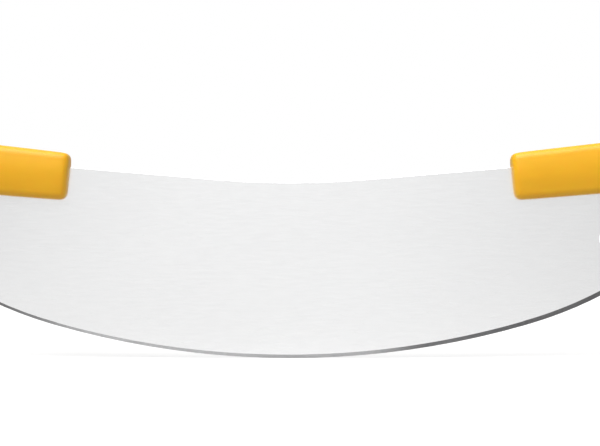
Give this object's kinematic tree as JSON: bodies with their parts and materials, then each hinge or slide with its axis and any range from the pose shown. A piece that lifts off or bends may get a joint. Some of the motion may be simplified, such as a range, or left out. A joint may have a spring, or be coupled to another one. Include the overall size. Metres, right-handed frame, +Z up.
{
  "type": "rocking pizza knife",
  "caption": "Crescent steel blade with a ground lower edge, a hanging hole near one end and a moulded handle over a tang at each end, rocked by hand to cut pizza.",
  "frame": {"origin": "lowest point of the cutting edge, in the middle of the sheet's thickness", "axes": "+X along the blade towards the end with the hanging hole, +Y from the front face to the back face, +Z up from the cutting edge to the back"},
  "size_m": [0.5782, 0.023, 0.1415],
  "materials": {
    "blade": "satin, fine grain along the blade",
    "handle": "moulded, satin"
  },
  "bodies": {
    "root": {"blade": "blade", "right_handle": "handle", "left_handle": "handle"}
  },
  "joints": []
}
